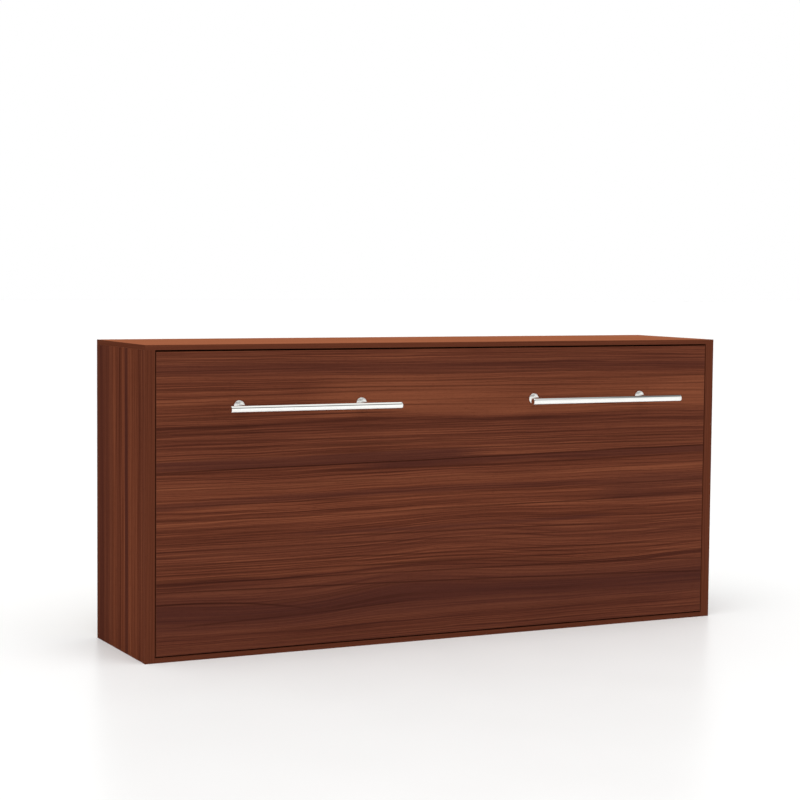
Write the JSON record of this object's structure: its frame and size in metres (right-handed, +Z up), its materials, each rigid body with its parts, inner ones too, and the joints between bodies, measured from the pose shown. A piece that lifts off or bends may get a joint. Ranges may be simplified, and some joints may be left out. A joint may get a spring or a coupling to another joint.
{
  "type": "wall bed",
  "caption": "Low horizontal cabinet in walnut laminate whose flush front panel folds down as a single bed, with gas struts, a slatted frame and bar handles that serve as its legs.",
  "frame": {"origin": "on the floor, at the centre of the cabinet's footprint", "axes": "+X to the right along the front, +Y from the front to the wall, +Z up"},
  "size_m": [2.11, 0.621, 0.987],
  "materials": {
    "walnut_laminate": "satin walnut-pattern laminate",
    "walnut_edge_band": "satin walnut-pattern edge banding",
    "hardboard": "matt hardboard",
    "chrome": "polished chrome",
    "black_plastic": "fine-grained black plastic",
    "black_rubber": "matt black rubber",
    "frame_paint": "dark grey powder coat",
    "zinc_steel": "bright zinc plating",
    "cylinder_paint": "black enamel",
    "bronze": "plain bearing bronze",
    "birch": "clear-lacquered beech ply",
    "dowel_wood": "raw grooved beech",
    "mattress_cloth": "quilted white knit",
    "webbing": "woven black webbing"
  },
  "bodies": {
    "cabinet": {"top_board": "walnut_laminate", "bottom_board": "walnut_laminate", "left_side_panel": "walnut_laminate", "right_side_panel": "walnut_laminate", "back_panel": "hardboard", "upper_wall_rail": "walnut_laminate", "lower_wall_rail": "walnut_laminate", "carcass_edge_bands": "walnut_edge_band", "cam_locks": "zinc_steel", "cam_bolts": "zinc_steel", "dowels": "dowel_wood", "left_pivot_plate": "zinc_steel", "right_pivot_plate": "zinc_steel", "pivot_pins": "chrome", "pivot_plate_screws": "zinc_steel", "left_strut_bracket": "zinc_steel", "right_strut_bracket": "zinc_steel", "strut_bracket_screws": "zinc_steel", "stop_blocks": "black_plastic", "stop_block_screws": "zinc_steel", "stop_bumpers": "black_rubber"},
    "bed": {"front_panel": "walnut_laminate", "front_panel_edge_bands": "walnut_edge_band", "frame_lower_rail": "frame_paint", "frame_upper_rail": "frame_paint", "frame_left_end_tube": "frame_paint", "frame_right_end_tube": "frame_paint", "frame_cross_tubes": "frame_paint", "frame_end_plugs": "black_plastic", "panel_bolts": "zinc_steel", "left_hinge_plate": "zinc_steel", "right_hinge_plate": "zinc_steel", "hinge_bushings": "bronze", "hinge_bolts": "zinc_steel", "slats": "birch", "slat_holders": "black_plastic", "mattress": "mattress_cloth", "mattress_straps": "webbing", "strap_buckles": "black_plastic", "mattress_hoops": "zinc_steel", "left_handle_bar": "chrome", "right_handle_bar": "chrome", "handle_posts": "chrome", "handle_rosettes": "chrome", "handle_end_caps": "chrome", "handle_bolts": "zinc_steel"},
    "left_strut_cylinder": {"left_strut_cylinder": "cylinder_paint", "left_strut_gland": "zinc_steel"},
    "left_strut_rod": {"left_strut_rod": "chrome", "left_strut_rod_end": "zinc_steel"},
    "right_strut_cylinder": {"right_strut_cylinder": "cylinder_paint", "right_strut_gland": "zinc_steel"},
    "right_strut_rod": {"right_strut_rod": "chrome", "right_strut_rod_end": "zinc_steel"}
  },
  "joints": [
    {"name": "bed_fold", "type": "hinge", "parent": "cabinet", "child": "bed", "pos_m": [0, -0.214, 0.1675], "axis": [1, 0, 0], "range_deg": [0, 90]},
    {"name": "left_strut_swing", "type": "hinge", "parent": "cabinet", "child": "left_strut_cylinder", "pos_m": [-1.008, -0.064, 0.4975], "axis": [1, 0, 0], "range_deg": [0, 3]},
    {"name": "left_strut_slide", "type": "slide", "parent": "left_strut_cylinder", "child": "left_strut_rod", "axis": [0, -0.3126, -0.9499], "range_m": [-0.096, 0]},
    {"name": "right_strut_swing", "type": "hinge", "parent": "cabinet", "child": "right_strut_cylinder", "pos_m": [1.008, -0.064, 0.4975], "axis": [1, 0, 0], "range_deg": [0, 3]},
    {"name": "right_strut_slide", "type": "slide", "parent": "right_strut_cylinder", "child": "right_strut_rod", "axis": [0, -0.3126, -0.9499], "range_m": [-0.096, 0]}
  ],
  "couplings": [
    {"joint": "left_strut_swing", "follows": "bed_fold", "ratio": 0.032042},
    {"joint": "left_strut_slide", "follows": "bed_fold", "m_per_rad": -0.060097},
    {"joint": "right_strut_swing", "follows": "bed_fold", "ratio": 0.032042},
    {"joint": "right_strut_slide", "follows": "bed_fold", "m_per_rad": -0.060097}
  ]
}
